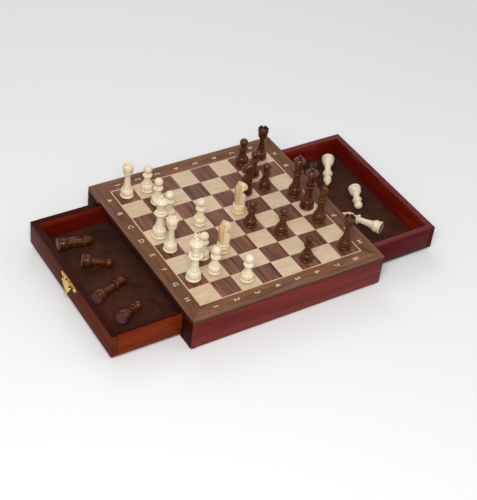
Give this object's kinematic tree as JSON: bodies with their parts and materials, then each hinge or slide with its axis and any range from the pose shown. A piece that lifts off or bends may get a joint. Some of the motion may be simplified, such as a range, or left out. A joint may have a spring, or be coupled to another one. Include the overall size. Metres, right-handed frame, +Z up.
{
  "type": "chess box with drawers",
  "caption": "Square wooden chess box: inlaid magnetic board as the lid, a felt-lined drawer at each side with a brass drop pull, and turned wooden chessmen.",
  "frame": {"origin": "middle of the box's square footprint, on the surface that the feet stand on", "axes": "+Z up, +X towards the right drawer's front, -X towards the left drawer's front, -Y towards the long wall that faces the viewer"},
  "size_m": [0.5224, 0.3, 0.1288],
  "materials": {
    "mahogany": "stained and lacquered mahogany, satin",
    "walnut": "walnut veneer, satin lacquer",
    "dark_veneer": "dark walnut veneer squares, satin lacquer",
    "maple": "maple veneer squares, satin lacquer",
    "inlay": "light inlaid line, satin lacquer",
    "edge_band": "dark edge banding, satin lacquer",
    "panel": "plywood panel, dark stain",
    "drawer_wood": "red-brown stained wood, lacquered",
    "felt": "dark brown felt",
    "steel": "steel sheet",
    "screw": "zinc-plated screws",
    "foot": "dark soft pad",
    "brass": "polished brass",
    "light_wood": "boxwood, polished",
    "dark_wood": "dark stained wood, polished"
  },
  "bodies": {
    "box": {"board_core": "panel", "edge_banding": "edge_band", "steel_sheet": "steel", "dark_squares": "dark_veneer", "light_squares": "maple", "inlay_line": "inlay", "border_strips": "walnut", "under_panel": "panel", "front_wall": "mahogany", "back_wall": "mahogany", "bottom_panel": "panel", "divider": "panel", "feet": "foot", "bottom_screws": "screw"},
    "left_drawer": {"left_drawer_front": "mahogany", "left_drawer_sides": "drawer_wood", "left_drawer_back": "drawer_wood", "left_drawer_bottom": "panel", "left_drawer_felt": "felt", "left_pull_plate": "brass"},
    "left_pull": {"left_pull_drop": "brass"},
    "right_drawer": {"right_drawer_front": "mahogany", "right_drawer_sides": "drawer_wood", "right_drawer_back": "drawer_wood", "right_drawer_bottom": "panel", "right_drawer_felt": "felt", "right_pull_plate": "brass"},
    "right_pull": {"right_pull_drop": "brass"},
    "light_rook_1_piece": {"light_rook_1": "light_wood"},
    "light_rook_2_piece": {"light_rook_2": "light_wood"},
    "light_knight_1_piece": {"light_knight_1": "light_wood"},
    "light_knight_2_piece": {"light_knight_2": "light_wood"},
    "light_bishop_1_piece": {"light_bishop_1": "light_wood"},
    "light_bishop_2_piece": {"light_bishop_2": "light_wood"},
    "light_queen_piece": {"light_queen": "light_wood"},
    "light_king_piece": {"light_king": "light_wood"},
    "light_pawn_1_piece": {"light_pawn_1": "light_wood"},
    "light_pawn_2_piece": {"light_pawn_2": "light_wood"},
    "light_pawn_3_piece": {"light_pawn_3": "light_wood"},
    "light_pawn_4_piece": {"light_pawn_4": "light_wood"},
    "light_pawn_5_piece": {"light_pawn_5": "light_wood"},
    "light_pawn_6_piece": {"light_pawn_6": "light_wood"},
    "light_pawn_7_piece": {"light_pawn_7": "light_wood"},
    "light_pawn_8_piece": {"light_pawn_8": "light_wood"},
    "dark_rook_1_piece": {"dark_rook_1": "dark_wood"},
    "dark_rook_2_piece": {"dark_rook_2": "dark_wood"},
    "dark_knight_1_piece": {"dark_knight_1": "dark_wood"},
    "dark_knight_2_piece": {"dark_knight_2": "dark_wood"},
    "dark_bishop_1_piece": {"dark_bishop_1": "dark_wood"},
    "dark_bishop_2_piece": {"dark_bishop_2": "dark_wood"},
    "dark_queen_piece": {"dark_queen": "dark_wood"},
    "dark_king_piece": {"dark_king": "dark_wood"},
    "dark_pawn_1_piece": {"dark_pawn_1": "dark_wood"},
    "dark_pawn_2_piece": {"dark_pawn_2": "dark_wood"},
    "dark_pawn_3_piece": {"dark_pawn_3": "dark_wood"},
    "dark_pawn_4_piece": {"dark_pawn_4": "dark_wood"},
    "dark_pawn_5_piece": {"dark_pawn_5": "dark_wood"},
    "dark_pawn_6_piece": {"dark_pawn_6": "dark_wood"},
    "dark_pawn_7_piece": {"dark_pawn_7": "dark_wood"},
    "dark_pawn_8_piece": {"dark_pawn_8": "dark_wood"}
  },
  "joints": [
    {"name": "drawer_left_slide", "type": "slide", "parent": "box", "child": "left_drawer", "axis": [-1, 0, 0], "range_m": [-0.1, 0.02]},
    {"name": "drawer_right_slide", "type": "slide", "parent": "box", "child": "right_drawer", "axis": [1, 0, 0], "range_m": [-0.112, 0.008]},
    {"name": "drawer_left_pull_swing", "type": "hinge", "parent": "left_drawer", "child": "left_pull", "pos_m": [-0.2529, 0, 0.03375], "axis": [0, 1, 0], "range_deg": [0, 85]},
    {"name": "drawer_right_pull_swing", "type": "hinge", "parent": "right_drawer", "child": "right_pull", "pos_m": [0.2649, 0, 0.03375], "axis": [0, -1, 0], "range_deg": [0, 85]},
    {"name": "lift_light_rook_1", "type": "slide", "parent": "box", "child": "light_rook_1_piece", "axis": [0, 0, 1], "range_m": [0, 0.04]},
    {"name": "lift_light_rook_2", "type": "slide", "parent": "box", "child": "light_rook_2_piece", "axis": [0, 0, 1], "range_m": [0, 0.04]},
    {"name": "lift_light_knight_1", "type": "slide", "parent": "box", "child": "light_knight_1_piece", "axis": [0, 0, 1], "range_m": [0, 0.04]},
    {"name": "lift_light_knight_2", "type": "slide", "parent": "box", "child": "light_knight_2_piece", "axis": [0, 0, 1], "range_m": [0, 0.04]},
    {"name": "lift_light_bishop_1", "type": "slide", "parent": "right_drawer", "child": "light_bishop_1_piece", "axis": [0, 0, 1], "range_m": [0, 0.04]},
    {"name": "lift_light_bishop_2", "type": "slide", "parent": "right_drawer", "child": "light_bishop_2_piece", "axis": [0, 0, 1], "range_m": [0, 0.04]},
    {"name": "lift_light_queen", "type": "slide", "parent": "box", "child": "light_queen_piece", "axis": [0, 0, 1], "range_m": [0, 0.04]},
    {"name": "lift_light_king", "type": "slide", "parent": "box", "child": "light_king_piece", "axis": [0, 0, 1], "range_m": [0, 0.04]},
    {"name": "lift_light_pawn_1", "type": "slide", "parent": "box", "child": "light_pawn_1_piece", "axis": [0, 0, 1], "range_m": [0, 0.04]},
    {"name": "lift_light_pawn_2", "type": "slide", "parent": "box", "child": "light_pawn_2_piece", "axis": [0, 0, 1], "range_m": [0, 0.04]},
    {"name": "lift_light_pawn_3", "type": "slide", "parent": "box", "child": "light_pawn_3_piece", "axis": [0, 0, 1], "range_m": [0, 0.04]},
    {"name": "lift_light_pawn_4", "type": "slide", "parent": "box", "child": "light_pawn_4_piece", "axis": [0, 0, 1], "range_m": [0, 0.04]},
    {"name": "lift_light_pawn_5", "type": "slide", "parent": "box", "child": "light_pawn_5_piece", "axis": [0, 0, 1], "range_m": [0, 0.04]},
    {"name": "lift_light_pawn_6", "type": "slide", "parent": "box", "child": "light_pawn_6_piece", "axis": [0, 0, 1], "range_m": [0, 0.04]},
    {"name": "lift_light_pawn_7", "type": "slide", "parent": "box", "child": "light_pawn_7_piece", "axis": [0, 0, 1], "range_m": [0, 0.04]},
    {"name": "lift_light_pawn_8", "type": "slide", "parent": "right_drawer", "child": "light_pawn_8_piece", "axis": [0, 0, 1], "range_m": [0, 0.04]},
    {"name": "lift_dark_rook_1", "type": "slide", "parent": "box", "child": "dark_rook_1_piece", "axis": [0, 0, 1], "range_m": [0, 0.04]},
    {"name": "lift_dark_rook_2", "type": "slide", "parent": "box", "child": "dark_rook_2_piece", "axis": [0, 0, 1], "range_m": [0, 0.04]},
    {"name": "lift_dark_knight_1", "type": "slide", "parent": "box", "child": "dark_knight_1_piece", "axis": [0, 0, 1], "range_m": [0, 0.04]},
    {"name": "lift_dark_knight_2", "type": "slide", "parent": "left_drawer", "child": "dark_knight_2_piece", "axis": [0, 0, 1], "range_m": [0, 0.04]},
    {"name": "lift_dark_bishop_1", "type": "slide", "parent": "box", "child": "dark_bishop_1_piece", "axis": [0, 0, 1], "range_m": [0, 0.04]},
    {"name": "lift_dark_bishop_2", "type": "slide", "parent": "left_drawer", "child": "dark_bishop_2_piece", "axis": [0, 0, 1], "range_m": [0, 0.04]},
    {"name": "lift_dark_queen", "type": "slide", "parent": "box", "child": "dark_queen_piece", "axis": [0, 0, 1], "range_m": [0, 0.04]},
    {"name": "lift_dark_king", "type": "slide", "parent": "box", "child": "dark_king_piece", "axis": [0, 0, 1], "range_m": [0, 0.04]},
    {"name": "lift_dark_pawn_1", "type": "slide", "parent": "box", "child": "dark_pawn_1_piece", "axis": [0, 0, 1], "range_m": [0, 0.04]},
    {"name": "lift_dark_pawn_2", "type": "slide", "parent": "box", "child": "dark_pawn_2_piece", "axis": [0, 0, 1], "range_m": [0, 0.04]},
    {"name": "lift_dark_pawn_3", "type": "slide", "parent": "box", "child": "dark_pawn_3_piece", "axis": [0, 0, 1], "range_m": [0, 0.04]},
    {"name": "lift_dark_pawn_4", "type": "slide", "parent": "box", "child": "dark_pawn_4_piece", "axis": [0, 0, 1], "range_m": [0, 0.04]},
    {"name": "lift_dark_pawn_5", "type": "slide", "parent": "box", "child": "dark_pawn_5_piece", "axis": [0, 0, 1], "range_m": [0, 0.04]},
    {"name": "lift_dark_pawn_6", "type": "slide", "parent": "box", "child": "dark_pawn_6_piece", "axis": [0, 0, 1], "range_m": [0, 0.04]},
    {"name": "lift_dark_pawn_7", "type": "slide", "parent": "left_drawer", "child": "dark_pawn_7_piece", "axis": [0, 0, 1], "range_m": [0, 0.04]},
    {"name": "lift_dark_pawn_8", "type": "slide", "parent": "left_drawer", "child": "dark_pawn_8_piece", "axis": [0, 0, 1], "range_m": [0, 0.04]}
  ]
}
